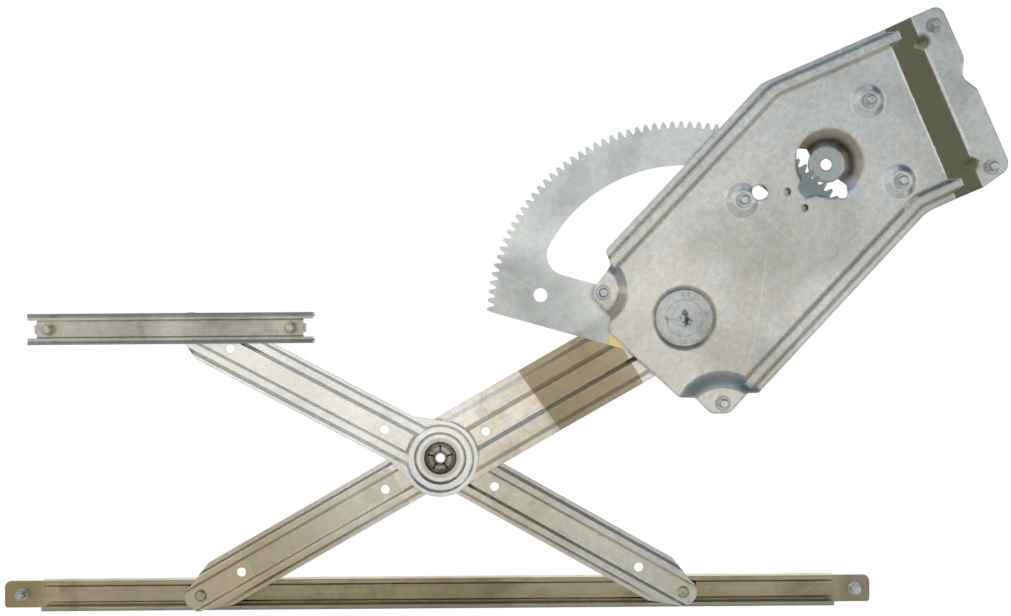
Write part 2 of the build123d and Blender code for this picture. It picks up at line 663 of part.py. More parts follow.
def idler_arm_lower():
    """Lower half of the idler, behind the lift arm."""
    section = ridged_section(NARROW_PROFILE, RIDGE_H)
    front = cranked_column(section, [(-HUB_SEAT_R - 10, LOWER_WEB), (ARM + 20, LOWER_WEB)])
    front += raised_cone(HUB_REAR_SEAT_R, HUB_REAR_SEAT - LOWER_WEB, HUB_REAR_SEAT, LOWER_WEB)
    half = NARROW_PROFILE[-1]
    end_r = HUB_REAR_SEAT_R + HUB_REAR_SEAT - LOWER_WEB + 0.5
    blank = Circle(end_r) + tapered_end(0, ARM, half, ARM_END_R)
    arm = pressed(front, blank, ARM_T)
    arm = drilled(arm, [(x, 0) for x in IDLER_LOWER_HOLES], ARM_HOLE_R)
    arm = drilled(arm, [(ARM, 0)], PIN_R)
    arm = drilled(arm, [(0, 0)], HUB_R)
    return Pos(*CENTRE) * Rot(0, 0, -REST_ANGLE) * arm


# ---- scissor hub ---------------------------------------------------------------------------
def scissor_hub():
    """Tubular rivet: rear flange, barrel, and a slit front end closed in over the bore."""
    front = HUB_RING + HUB_PROUD
    back = HUB_REAR_SEAT - ARM_T
    petal_t = 1.4
    hub = turned([
        (HUB_BORE_R, front),
        (HUB_R - 1.2, front),
        (HUB_R, front - 1.2),
        (HUB_R, back),
        (HUB_FLANGE_R, back),
        (HUB_FLANGE_R, back - HUB_FLANGE_T),
        (HUB_R - HUB_WALL, back - HUB_FLANGE_T),
        (HUB_R - HUB_WALL, front - petal_t - 0.6),
        (HUB_BORE_R, front - petal_t - 0.6),
    ])
    slit_length = HUB_R - HUB_WALL - HUB_BORE_R + 1
    slit = Pos(HUB_BORE_R - 0.5 + slit_length / 2, 0, front) * Box(slit_length, HUB_SLIT, 5)
    for petal in range(HUB_PETALS):
        hub -= Rot(0, 0, 360 / HUB_PETALS * petal + 18) * slit
    return Pos(*CENTRE) * hub


def hub_washer(top):
    """Friction washer between an idler arm and the lift arm."""
    return Pos(*CENTRE) * tube(HUB_RING_R - 0.6, HUB_R, top, top - HUB_WASHER_T)


# ---- rails ---------------------------------------------------------------------------------
def along_x(section, left, right):
    """Bar with a (y, z) section between two X positions."""
    plane = Plane(origin=(left, 0, 0), x_dir=(0, 1, 0), z_dir=(1, 0, 0))
    return Part() + Solid.extrude((plane * section).face(), Vector(right - left, 0, 0))


def rail_section(web, mouth):
    """Section of a rail between the levels of its web and its mouth, one gauge thick."""
    way = math.copysign(1.0, mouth - web)
    half = RAIL_H / 2
    shoulder = web + way * RAIL_SHOULDER
    bead = shoulder - way * RAIL_BEAD
    side = RAIL_WEB_HALF + RAIL_WEB_SLOPE
    outer = [
        (RAIL_WEB_HALF, web),
        (side, shoulder),
        (half - RAIL_BEAD - RAIL_BEAD_W, shoulder),
        (half - RAIL_BEAD, bead),
        (half, shoulder),
        (half, mouth),
    ]
    wall = half - RAIL_T
    inner = [
        (RAIL_WEB_HALF, web + way * RAIL_T),
        (side, shoulder + way * RAIL_T),
        (wall, shoulder + way * RAIL_T),
        (wall, mouth - way * RAIL_T),
    ]
    solid, hollow = [
        make_face(Polyline(points + [(-y, z) for y, z in reversed(points)], close=True))
        for points in (outer, inner)
    ]
    opening = Pos(0, mouth) * Rectangle(RAIL_H - 2 * RAIL_LIP, 3 * RAIL_T)
    return solid - hollow - opening


def lift_rail():
    """Channel that lifts the glass; its open side faces the arms."""
    back = LIFT_RAIL_FACE - LIFT_RAIL_DEPTH
    rail = along_x(rail_section(back, LIFT_RAIL_FACE), LIFT_RAIL_LEFT, LIFT_RAIL_RIGHT)
    top = LIFT_TAB_H / 2
    for end, reach in ((LIFT_RAIL_LEFT, -LIFT_TAB_LEFT), (LIFT_RAIL_RIGHT, LIFT_TAB_RIGHT)):
        outer_end = end + reach
        inner_end = end - math.copysign(OVERRUN, reach)
        tab = rounded_face([(outer_end, top, LIFT_TAB_ROUND), (outer_end, -top, 2.0),
                            (inner_end, -top, 0.3), (inner_end, top, 0.3)])
        rail += column(tab, back + RAIL_T, back)
    rail = Pos(0, RAIL_Y, 0) * rail
    return drilled(rail, lift_rail_stud_places(), STUD_HEAD_R)


def lift_rail_stud_places():
    """Studs on the end tabs, where the glass carrier bolts on."""
    return [(LIFT_RAIL_LEFT - LIFT_STUD_REACH, RAIL_Y), (LIFT_RAIL_RIGHT + LIFT_STUD_REACH, RAIL_Y)]


def guide_rail():
    """Channel fixed to the door panel; its open side faces the idler."""
    section = rail_section(SEAT, SEAT - GUIDE_RAIL_DEPTH)
    rail = along_x(section, GUIDE_RAIL_LEFT, GUIDE_RAIL_RIGHT)
    notch_h = 2 * (RAIL_WEB_HALF + RAIL_WEB_SLOPE)
    for side, end in ((-1, GUIDE_RAIL_LEFT), (1, GUIDE_RAIL_RIGHT)):
        notch = Pos(end - side * (GUIDE_NOTCH - OVERRUN) / 2, 0, SEAT)
        rail -= notch * Box(GUIDE_NOTCH + OVERRUN, notch_h, 4 * RAIL_T)
        rail += guide_stop(side, end)
    return drilled(Pos(0, GUIDE_Y, 0) * rail, guide_stud_places(), STUD_HEAD_R)


def guide_stop(side, end):
    """Small tab bent back from the end of the web, which keeps the shoe in the rail."""
    web_end = end - side * GUIDE_NOTCH
    top = SEAT - 0.3
    bottom = top - 5.0
    return Pos(web_end + side * 0.6, 0, (top + bottom) / 2) * Box(1.4, 5.4, top - bottom)


def guide_stud_places():
    """Studs that bolt the guide rail to the door panel."""
    left = GUIDE_RAIL_LEFT + GUIDE_STUD_INSET
    right = GUIDE_RAIL_RIGHT - GUIDE_STUD_INSET
    return [(left, GUIDE_Y), (right, GUIDE_Y)]


# ---- shoes and their pins ------------------------------------------------------------------
def shoe(head_near, head_far, neck_end, play):
    """Nylon slider: a block between the lips and the web of a rail, with a neck and a bore."""
    height = RAIL_H - 2 * RAIL_T - 2 * play
    block = RectangleRounded(SHOE_LENGTH, height, SHOE_ROUND)
    low, high = sorted((head_near, head_far))
    body = column(block, high, low)
    low, high = sorted((head_near, neck_end))
    body += column(Circle(SHOE_NECK_R), high, low)
    body -= Pos(0, 0, (head_far + neck_end) / 2) * Cylinder(PIN_R + RUNNING_GAP, 40)
    pocket_floor = pin_foot_seat(head_near, head_far)
    low, high = sorted((pocket_floor, head_far + math.copysign(OVERRUN, head_far - head_near)))
    return body - column(Circle(PIN_FOOT_R + SHOE_GAP), high, low)


def pin_foot_seat(head_near, head_far):
    """Floor of the pocket that takes the foot of the pin."""
    return head_far - math.copysign(PIN_FOOT_T + 2 * FACE_GAP + 1.0, head_far - head_near)


def shoe_pin(arm_face, head_near, head_far):
    """Pin riveted into an arm: domed head on the arm, shank, and a foot inside the shoe."""
    away = math.copysign(1.0, head_far - head_near)
    foot_near = pin_foot_seat(head_near, head_far) + away * FACE_GAP
    foot_far = foot_near + away * PIN_FOOT_T
    head_top = arm_face - away * PIN_HEAD_H
    return turned([
        (0, head_top),
        (PIN_HEAD_R - PIN_HEAD_H, head_top),
        (PIN_HEAD_R, arm_face),
        (PIN_R, arm_face),
        (PIN_R, foot_near),
        (PIN_FOOT_R, foot_near),
        (PIN_FOOT_R, foot_far),
        (0, foot_far),
    ])


def idler_shoe_pins():
    """Pins of both shoes of the idler, as separate solids."""
    lower = Pos(*IDLER_END) * shoe_pin(END_WEB, LIFT_SHOE_NEAR, LIFT_SHOE_FAR)
    upper = Pos(*GUIDE_END) * shoe_pin(UPPER_WEB - ARM_T, GUIDE_SHOE_NEAR, GUIDE_SHOE_FAR)
    return Compound(children=[lower, upper])


LIFT_SHOE_NEAR = LIFT_RAIL_FACE - RAIL_T - SHOE_GAP
LIFT_SHOE_FAR = LIFT_RAIL_FACE - LIFT_RAIL_DEPTH + RAIL_SHOULDER + RAIL_T + SHOE_GAP
GUIDE_SHOE_NEAR = SEAT - GUIDE_RAIL_DEPTH + RAIL_T + SHOE_GAP
GUIDE_SHOE_FAR = SEAT - RAIL_SHOULDER - RAIL_T - SHOE_GAP
UPPER_WEB = DISC_FACE + UPPER_WEB_H

PARTS = {
    "base_plate": base_plate,
    "panel_studs": lambda: studs(PANEL_STUDS, SEAT, PLATE_T, STUD_LENGTH),
    "motor_studs": lambda: studs(MOTOR_STUDS, MOTOR_BOSS_TOP, PLATE_T, STUD_LENGTH),
    "pivot_pin": pivot_pin,
    "pivot_collar": pivot_collar,
    "pivot_bush": pivot_bush,
    "pivot_washer": pivot_washer,
    "sector_gear": sector_gear,
    "sector_rivets": sector_rivets,
    "lift_arm": lift_arm,
    "idler_arm_upper": idler_arm_upper,
    "idler_arm_lower": idler_arm_lower,
    "scissor_hub": scissor_hub,
    "hub_washer_front": lambda: hub_washer(HUB_RING - ARM_T),
    "hub_washer_rear": lambda: hub_washer(HUB_REAR_SEAT + HUB_WASHER_T),
    "guide_rail": guide_rail,
    "guide_rail_studs": lambda: studs(guide_stud_places(), SEAT, RAIL_T, STUD_LENGTH),
    "lift_rail": lift_rail,
    "lift_rail_studs": lambda: studs(
        lift_rail_stud_places(), LIFT_RAIL_FACE - LIFT_RAIL_DEPTH + RAIL_T, RAIL_T, LIFT_STUD_LENGTH
    ),
    "lift_arm_shoe": lambda: Pos(*LIFT_END) * shoe(
        LIFT_SHOE_NEAR, LIFT_SHOE_FAR, END_WEB - ARM_T - 2 * FACE_GAP, SHOE_GAP
    ),
    "lift_arm_shoe_pin": lambda: Pos(*LIFT_END) * shoe_pin(END_WEB, LIFT_SHOE_NEAR, LIFT_SHOE_FAR),
    "idler_lower_shoe": lambda: Pos(*IDLER_END) * shoe(
        LIFT_SHOE_NEAR, LIFT_SHOE_FAR, END_WEB - ARM_T - 2 * FACE_GAP, SHOE_GAP
    ),
    "idler_upper_shoe": lambda: Pos(*GUIDE_END) * shoe(
        GUIDE_SHOE_NEAR, GUIDE_SHOE_FAR, UPPER_WEB + 2 * FACE_GAP, GUIDE_PLAY
    ),
    "idler_shoe_pins": idler_shoe_pins,
}


def main():
    """Write each sub-part to its own STEP file."""
    os.makedirs("parts", exist_ok=True)
    for name, make in PARTS.items():
        export_step(placed(make()), f"parts/{name}.step")


main()
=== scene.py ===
import math

import bpy
from mathutils import Matrix, Vector


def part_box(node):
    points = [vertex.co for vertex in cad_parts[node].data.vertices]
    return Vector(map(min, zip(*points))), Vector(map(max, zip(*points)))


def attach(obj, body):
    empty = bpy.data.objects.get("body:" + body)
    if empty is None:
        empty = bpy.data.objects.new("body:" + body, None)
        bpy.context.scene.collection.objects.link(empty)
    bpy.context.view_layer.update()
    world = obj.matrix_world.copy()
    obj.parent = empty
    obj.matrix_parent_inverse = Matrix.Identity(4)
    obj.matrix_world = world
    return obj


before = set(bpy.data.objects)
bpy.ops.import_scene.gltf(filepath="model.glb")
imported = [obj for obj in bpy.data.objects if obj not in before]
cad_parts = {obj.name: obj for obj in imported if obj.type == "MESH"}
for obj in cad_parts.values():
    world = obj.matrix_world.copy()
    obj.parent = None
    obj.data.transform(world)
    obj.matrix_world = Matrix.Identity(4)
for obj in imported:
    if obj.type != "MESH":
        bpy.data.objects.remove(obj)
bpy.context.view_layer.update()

# ---- places, in metres -------------------------------------------------------------------------
# PIVOT is the main pivot, the drawing's own zero. The others are (x, z) in the part's frame.
PIVOT = Vector((0.0504, 0.0, -0.0158))
PINION = (0.14015, 0.07877)
HUB = (PIVOT.x - 0.1513, PIVOT.z - 0.0859)
BOTTOM_LUG = (0.0728, -0.0801)
MOTOR_BOSSES = [(0.1643, 0.1165), (0.1835, 0.0671), (0.0866, 0.0561)]
GUSSETS = [(0.1964, 0.1522), (0.2252, 0.0766)]
FLANGE_TURN = 22.6                       # degrees, the direction that the end flange faces
LIFT_RAIL_STUDS = [(-0.3680, -0.1870), (0.1640, -0.1870)]
LIFT_RAIL_ENDS = [((-0.351, 0.0), 0), ((0.148, 0.0), 180)]

# ---- scales of the noise patterns, per metre: a higher number is a finer pattern ----------------
CLOUDS = 16.0
PLATING = 260.0
TINTS = 330.0
RAGGED = 420.0
PITS = 900.0
ROLLED = (18.0, 900.0, 900.0)            # long along the rolling direction
SCRATCHED = (9.0, 300.0, 300.0)
NYLON_CLOUDS = 90.0
MOULD = 1800.0


def lin(r, g, b):
    """Linear colour from 0-255 display values."""
    out = []
    for c in (r, g, b):
        c = c / 255.0
        out.append(c / 12.92 if c <= 0.04045 else ((c + 0.055) / 1.055) ** 2.4)
    return (*out, 1.0)


# tone of the painted shade, partly oil, on the sector under the plate
OIL_AND_PAINTED_SHADE = lin(118, 128, 130)
# BRIGHT is the tone of scratches and of painted highlights
BRIGHT = (0.97, 0.98, 0.96, 1)
PIT_TONE = (0.10, 0.09, 0.075, 1)
SCRATCH_TONE = (0.86, 0.85, 0.83, 1)


class Graph:
    """Small helper for building a node tree."""

    def __init__(self, tree):
        self.nodes = tree.nodes
        self.links = tree.links

    def add(self, kind, **values):
        node = self.nodes.new(kind)
        for key, value in values.items():
            setattr(node, key, value)
        return node

    def link(self, a, b):
        self.links.new(a, b)

    def put(self, socket, value):
        if isinstance(value, bpy.types.NodeSocket):
            self.link(value, socket)
        else:
            socket.default_value = value

    def math(self, op, a, b=0.0):
        node = self.add("ShaderNodeMath", operation=op)
        self.put(node.inputs[0], a)
        self.put(node.inputs[1], b)
        return node.outputs[0]

    def product(self, first, *others):
        for other in others:
            first = self.math("MULTIPLY", first, other)
        return first

    def scaled(self, value, factor, offset):
        return self.math("ADD", self.math("MULTIPLY", value, factor), offset)

    def centred(self, value, span):
        """A 0 to 1 value turned into one of about -span / 2 to span / 2."""
        return self.math("MULTIPLY", self.math("SUBTRACT", value, 0.5), span)

    def ramp(self, fac, stops):
        node = self.add("ShaderNodeValToRGB")
        elements = node.color_ramp.elements
        while len(elements) < len(stops):
            elements.new(0.5)
        for element, (pos, col) in zip(elements, stops):
            element.position = pos
            element.color = (*col, 1.0)
        self.put(node.inputs[0], fac)
        return node.outputs[0]

    def mix(self, fac, a, b, blend="MIX"):
        node = self.add("ShaderNodeMix", data_type="RGBA", blend_type=blend)
        node.clamp_factor = True
        self.put(node.inputs[0], fac)
        self.put(node.inputs[6], a)
        self.put(node.inputs[7], b)
        return node.outputs[2]

    def noise(self, vector, scale, detail=3.0, rough=0.55, distortion=0.0):
        node = self.add("ShaderNodeTexNoise")
        self.link(vector, node.inputs["Vector"])
        node.inputs["Scale"].default_value = scale
        node.inputs["Detail"].default_value = detail
        node.inputs["Roughness"].default_value = rough
        node.inputs["Distortion"].default_value = distortion
        return node.outputs["Fac"]

    def mapping(self, vector, loc=(0, 0, 0), rot=(0, 0, 0), scale=(1, 1, 1)):
        node = self.add("ShaderNodeMapping")
        self.link(vector, node.inputs["Vector"])
        node.inputs["Location"].default_value = loc
        node.inputs["Rotation"].default_value = rot
        node.inputs["Scale"].default_value = scale
        return node.outputs["Vector"]

    def split(self, vector):
        """The outputs X, Y and Z of a vector."""
        node = self.add("ShaderNodeSeparateXYZ")
        self.link(vector, node.inputs[0])
        return node.outputs

    def above(self, value, low, high):
        """0 below low, 1 above high, smooth between."""
        node = self.add("ShaderNodeMapRange", interpolation_type="SMOOTHSTEP")
        self.put(node.inputs["Value"], value)
        node.inputs["From Min"].default_value = low
        node.inputs["From Max"].default_value = high
        node.inputs["To Min"].default_value = 0.0
        node.inputs["To Max"].default_value = 1.0
        return node.outputs["Result"]

    def below(self, value, low, high):
        """1 below low, 0 above high, smooth between."""
        return self.math("SUBTRACT", 1.0, self.above(value, low, high))

    def between(self, value, rise, fall):
        """1 from the end of rise to the start of fall, each a pair of values, and 0 outside."""
        return self.product(self.above(value, *rise), self.below(value, *fall))

    def travel(self, xyz, place, ux, uz):
        """How far a point is from a place (x, z), in the direction (ux, uz)."""
        return self.math("ADD",
                         self.math("MULTIPLY", self.math("SUBTRACT", xyz["X"], place[0]), ux),
                         self.math("MULTIPLY", self.math("SUBTRACT", xyz["Z"], place[1]), uz))

    def off_axis(self, coord, centre):
        """Distance from an axis along Y through (x, z)."""
        shift = self.add("ShaderNodeVectorMath", operation="SUBTRACT")
        self.link(coord, shift.inputs[0])
        shift.inputs[1].default_value = (centre[0], 0.0, centre[1])
        flat = self.add("ShaderNodeVectorMath", operation="MULTIPLY")
        self.link(shift.outputs[0], flat.inputs[0])
        flat.inputs[1].default_value = (1.0, 0.0, 1.0)
        length = self.add("ShaderNodeVectorMath", operation="LENGTH")
        self.link(flat.outputs[0], length.inputs[0])
        return length.outputs["Value"]

    def along_line(self, coord, start, end, half_width, tip=0.003):
        """1 on a line with ragged edges between two (x, z) places, 0 off it."""
        length = math.hypot(end[0] - start[0], end[1] - start[1])
        ux, uz = (end[0] - start[0]) / length, (end[1] - start[1]) / length
        xyz = self.split(coord)
        ragged = self.centred(self.noise(coord, RAGGED, 2.0, 0.6), 3.0 * half_width)
        along = self.math("ADD", self.travel(xyz, start, ux, uz), ragged)
        across = self.math("ADD", self.travel(xyz, start, uz, -ux), ragged)
        inside = self.between(along, (0.0, tip), (length - tip, length))
        return self.product(
            self.below(self.math("ABSOLUTE", across), half_width * 0.3, half_width), inside)

    def past_line(self, coord, place, turn, soft=0.0012):
        """1 beyond a line through (x, z), on the side that `turn` degrees points to."""
        ux, uz = math.cos(math.radians(turn)), math.sin(math.radians(turn))
        return self.above(self.travel(self.split(coord), place, ux, uz), -soft / 2, soft / 2)


def new_surface(name):
    """A material with a principled shader: the material, its graph, the shader, the coordinates."""
    mat = bpy.data.materials.new(name)
    mat.use_nodes = True
    mat.node_tree.nodes.clear()
    g = Graph(mat.node_tree)
    out = g.add("ShaderNodeOutputMaterial")
    shader = g.add("ShaderNodeBsdfPrincipled")
    g.link(shader.outputs[0], out.inputs[0])
    return mat, g, shader, g.add("ShaderNodeTexCoord").outputs


def relief(g, shader, height, strength, distance, rounding):
    """Bump over edges that the shading rounds, both in metres."""
    bevel = g.add("ShaderNodeBevel", samples=4)
    bevel.inputs["Radius"].default_value = rounding
    node = g.add("ShaderNodeBump")
    node.inputs["Strength"].default_value = strength
    node.inputs["Distance"].default_value = distance
    g.link(height, node.inputs["Height"])
    g.link(bevel.outputs[0], node.inputs["Normal"])
    g.link(node.outputs[0], shader.inputs["Normal"])


def steel(name, tones, rough=0.36, grain=0.0, grain_turn=0.0, mottle=0.10, round_mm=0.5,
          scratches=0.3, grime=None, bump=0.15, stains_and_painted_light=(), painted_light_areas=(), lines=(), threads=None):
    """Plated steel: two tones blended by soft clouds, rolling grain, pits, scratches and wear.

    grime is (amount, scale, tint). A stain is a ring or disc about an axis along Y, either a real
    stain or a painted shade or highlight: (centre, inner radius, outer radius, softness, tint,
    amount). A painted light area is a patch of painted shade or reflection between straight
    edges, on the front only: (edges, tilt, tint, amount), where an edge is a place and the
    direction to the patch's inside in degrees, and tilt keeps it to faces that lean that way.
    A line is a scratch, a mark or a painted highlight: (start, end, half its width, tint), on
    the front only. threads is a pitch.
    """
    mat, g, shader, coords = new_surface(name)
    shader.inputs["Metallic"].default_value = 1.0
    coord = coords["Object"]
    clouds = g.noise(coord, CLOUDS, 4.0, 0.55, 0.4)
    colour = g.mix(g.above(clouds, 0.35, 0.68), *tones)
    # fine mottling of the plating
    fine = g.noise(coord, PLATING, 5.0, 0.7, 0.2)
    shade = g.ramp(fine, [(0.25, (1 - mottle,) * 3), (0.75, (1 + mottle,) * 3)])
    colour = g.mix(1.0, colour, shade, "MULTIPLY")
    # warm and cool patches of the passivation
    hue = g.ramp(g.noise(coord, TINTS, 4.0, 0.75, 0.3),
                 [(0.30, (1.08, 1.0, 0.88)), (0.5, (1.0, 1.0, 1.0)), (0.70, (0.91, 0.98, 1.07))])
    colour = g.mix(1.0, colour, hue, "MULTIPLY")
    # rolling grain
    turned = g.mapping(g.mapping(coord, rot=(0.0, grain_turn, 0.0)), scale=ROLLED)
    grain_lines = g.noise(turned, 1.0, 3.0, 0.6)
    if grain > 0:
        streak = g.ramp(grain_lines, [(0.3, (1 - grain,) * 3), (0.7, (1 + grain,) * 3)])
        colour = g.mix(1.0, colour, streak, "MULTIPLY")
    # dark pits
    pits = g.above(g.noise(coord, PITS, 2.0, 0.5), 0.69, 0.75)
    colour = g.mix(g.math("MULTIPLY", pits, 0.25), colour, PIT_TONE)
    # hairline scratches in two directions
    marks = []
    for turn, seed in ((0.7, 3.0), (-0.45, 11.0)):
        turned = g.mapping(g.mapping(coord, rot=(0, turn, 0)), loc=(seed, seed * 0.7, 0),
                           scale=SCRATCHED)
        marks.append(g.above(g.noise(turned, 1.0, 2.0, 0.4), 0.72, 0.75))
    marks = g.math("MAXIMUM", *marks)
    colour = g.mix(g.math("MULTIPLY", marks, scratches), colour, SCRATCH_TONE)
    rough_value = g.scaled(clouds, 0.12, rough - 0.06)
    rough_value = g.math("ADD", rough_value, g.math("MULTIPLY", fine, 0.06))
    if grime:
        amount, scale, tint = grime
        dirt = g.above(g.noise(coord, scale, 6.0, 0.68, 0.6), 0.50, 0.74)
        dirt = g.math("MULTIPLY", dirt, amount)
        colour = g.mix(dirt, colour, tint)
        rough_value = g.math("ADD", rough_value, g.math("MULTIPLY", dirt, 0.2))
    for centre, inner, outer, soft, tint, amount in stains_and_painted_light:
        away = g.math("ADD", g.off_axis(coord, centre), g.centred(clouds, soft))
        mask = g.below(away, outer - soft, outer + soft)
        if inner > 0:
            mask = g.product(mask, g.above(away, inner - soft, inner + soft))
        colour = g.mix(g.math("MULTIPLY", mask, amount), colour, tint)
    # painted light areas and lines are on the side towards -Y only
    normal = g.split(coords["Normal"])
    front = g.below(normal["Y"], -0.3, 0.0)
    for edges, tilt, tint, amount in painted_light_areas:
        mask = front
        if tilt:
            lean = g.travel(normal, (0.0, 0.0), *tilt)
            mask = g.product(mask, g.above(lean, 0.12, 0.30))
        mask = g.product(mask, *(g.past_line(coord, place, turn) for place, turn in edges))
        colour = g.mix(g.math("MULTIPLY", mask, amount), colour, tint)
    for start, end, half_width, tint in lines:
        mask = g.product(front, g.along_line(coord, start, end, half_width))
        colour = g.mix(g.math("MULTIPLY", mask, 0.7), colour, tint)
    g.link(colour, shader.inputs["Base Color"])
    g.link(rough_value, shader.inputs["Roughness"])
    height = g.math("ADD", g.math("MULTIPLY", fine, 0.6), g.math("MULTIPLY", grain_lines, 0.4))
    distance = 0.00012
    if threads:
        wave = g.math("SINE", g.math("MULTIPLY", g.split(coord)["Y"], 2 * math.pi / threads))
        height = g.math("ADD", g.math("MULTIPLY", height, 0.3), wave)
        bump, distance = 0.8, threads * 0.2
    relief(g, shader, height, bump, distance, round_mm / 1000.0)
    return mat


def plastic(name, tone, rough=0.45):
    """Moulded nylon with a fine mould texture and a few rubbed places."""
    mat, g, shader, coords = new_surface(name)
    coord = coords["Object"]
    clouds = g.noise(coord, NYLON_CLOUDS, 4.0, 0.6)
    rubbed = tuple(c * 1.7 for c in tone[:3]) + (1,)
    g.link(g.mix(g.above(clouds, 0.4, 0.7), tone, rubbed), shader.inputs["Base Color"])
    g.link(g.scaled(clouds, 0.2, rough - 0.1), shader.inputs["Roughness"])
    relief(g, shader, g.noise(coord, MOULD, 3.0, 0.6), 0.25, 0.00008, 0.0006)
    return mat


def on_flange(along, across):
    """(x, z) of a place measured from the pivot along and across the end flange's direction."""
    turn = math.radians(FLANGE_TURN)
    return (PIVOT.x + along * math.cos(turn) - across * math.sin(turn),
            PIVOT.z + along * math.sin(turn) + across * math.cos(turn))


# ---- materials ---------------------------------------------------------------------------------
plate_mat = steel(
    "plate_zinc", (lin(235, 229, 220), lin(212, 206, 196)), rough=0.22, grain=0.03,
    grain_turn=math.radians(47), round_mm=2.0, scratches=0.14, mottle=0.17,
    grime=(0.20, 22.0, lin(160, 146, 122)),
    # the pinion's bowl: painted shade on its wall, partly old grease, a painted tan reflection at
    # its mouth, a painted blue reflection at its open side, and a clean floor
    stains_and_painted_light=[(PINION, 0.0120, 0.0172, 0.0028, lin(40, 36, 25), 0.88),
            (PINION, 0.0172, 0.0215, 0.0020, lin(168, 138, 98), 0.5),
            ((0.1525, 0.0645), 0.0, 0.0060, 0.0030, (0.62, 0.74, 0.86, 1), 0.75),
            (PINION, 0.0, 0.0105, 0.0006, lin(176, 182, 180), 0.8)]
    # painted shade in the dents at the gussets
    + [(place, 0.0, 0.0042, 0.0018, lin(88, 80, 56), 0.9) for place in GUSSETS]
    # painted shade on the slope of the pivot's recessed seat, and on the slope round the bottom lug
    + [((PIVOT.x, PIVOT.z), 0.0178, 0.0198, 0.0014, lin(128, 112, 88), 0.45),
       (BOTTOM_LUG, 0.0238, 0.0298, 0.0018, lin(158, 160, 148), 0.8)]
    # painted highlights on the slopes of the motor bosses
    + [(place, 0.0066, 0.0108, 0.0012, BRIGHT, 0.7) for place in MOTOR_BOSSES],
    # painted dark olive reflection on the slope of the end flange
    painted_light_areas=[([((0.1775, 0.1465), FLANGE_TURN), ((0.1960, 0.1595), 203.4)],
            (-0.924, -0.383), lin(118, 116, 92), 0.92)],
    # a long scratch, and painted highlights along the bends beside the slope
    lines=[((0.1012, 0.0220), (0.0950, -0.0230), 0.00022, BRIGHT),
           ((0.0950, -0.0230), (0.0870, -0.0520), 0.00022, BRIGHT),
           (on_flange(0.1817, 0.018), on_flange(0.1817, 0.102), 0.0009, BRIGHT),
           (on_flange(0.1995, 0.025), on_flange(0.1995, 0.091), 0.0009, BRIGHT)])
sector_mat = steel(
    "sector_zinc", (lin(238, 238, 233), lin(204, 205, 201)), rough=0.25, grain=0.02,
    round_mm=0.25, mottle=0.12, grime=(0.25, 30.0, lin(140, 134, 116)),
    # painted shade, partly oil, on the sector under the plate round the pinion
    stains_and_painted_light=[(PINION, 0.0, 0.027, 0.006, OIL_AND_PAINTED_SHADE, 0.72)],
    # a painted yellow reflection on the sector's joggle slope beside the plate's left edge
    painted_light_areas=[([((0.0045, -0.03), 0), ((0.0165, -0.03), 180), ((0.0, -0.0225), -90)],
            None, lin(250, 226, 132), 0.85)])
arm_mat = steel(
    "arm_zinc", (lin(250, 243, 231), lin(230, 220, 203)), rough=0.17, grain=0.05,
    grain_turn=math.radians(29.6), round_mm=0.7, scratches=0.2,
    grime=(0.30, 26.0, lin(150, 132, 100)),
    # a warmer, darker tan over the arm's lower end
    stains_and_painted_light=[((-0.2522, -0.1877), 0.0, 0.090, 0.040, lin(196, 170, 120), 0.55)],
    # painted olive reflection along the length between the cranks
    painted_light_areas=[([((-0.0394, -0.0662), 35.2), ((0.0190, -0.0445), 210)],
            None, lin(152, 132, 94), 0.74)])
idler_low_mat = steel(
    "idler_zinc_lower", (lin(236, 229, 216), lin(220, 211, 196)), rough=0.18, grain=0.04,
    grain_turn=math.radians(-29), round_mm=0.7, scratches=0.2,
    grime=(0.25, 26.0, lin(150, 138, 108)))
idler_mat = steel(
    "idler_zinc", (lin(250, 249, 246), lin(236, 233, 227)), rough=0.17, grain=0.04,
    grain_turn=math.radians(-29), round_mm=0.7, scratches=0.2,
    grime=(0.20, 26.0, lin(160, 150, 128)),
    stains_and_painted_light=[(HUB, 0.0, 0.0125, 0.0012, lin(150, 138, 118), 0.5)])
rail_mat = steel(
    "rail_zinc", (lin(198, 183, 152), lin(170, 154, 124)), rough=0.27, grain=0.09,
    round_mm=0.5, scratches=0.15, grime=(0.6, 20.0, lin(122, 106, 66)),
    stains_and_painted_light=[(LIFT_RAIL_STUDS[0], 0.0, 0.014, 0.004, lin(168, 146, 96), 0.6),
            (LIFT_RAIL_STUDS[1], 0.0, 0.014, 0.004, lin(160, 148, 124), 0.7)],
    # painted blue-grey reflections on the upper and lower lips
    painted_light_areas=[([((0.0, -0.1785), 90), *LIFT_RAIL_ENDS], None, lin(152, 154, 152), 0.6),
           ([((0.0, -0.1960), -90), *LIFT_RAIL_ENDS], None, lin(140, 144, 146), 0.6)])
guide_mat = steel(
    "guide_zinc", (lin(206, 200, 190), lin(182, 176, 165)), rough=0.27, grain=0.05,
    round_mm=0.4, scratches=0.15, mottle=0.16, grime=(0.35, 34.0, lin(150, 134, 100)),
    # painted dark tan shade along the top bead, and a painted blue-grey reflection along the bottom
    # bead
    painted_light_areas=[([((0.0, -0.0115), 90)], None, lin(140, 128, 100), 0.6),
           ([((0.0, -0.0278), -90)], None, lin(176, 182, 186), 0.5)])
stud_mat = steel(
    "stud_zinc", (lin(226, 226, 224), lin(190, 190, 188)), rough=0.22, round_mm=0.25,
    grime=(0.35, 180.0, lin(70, 64, 54)), threads=0.001)
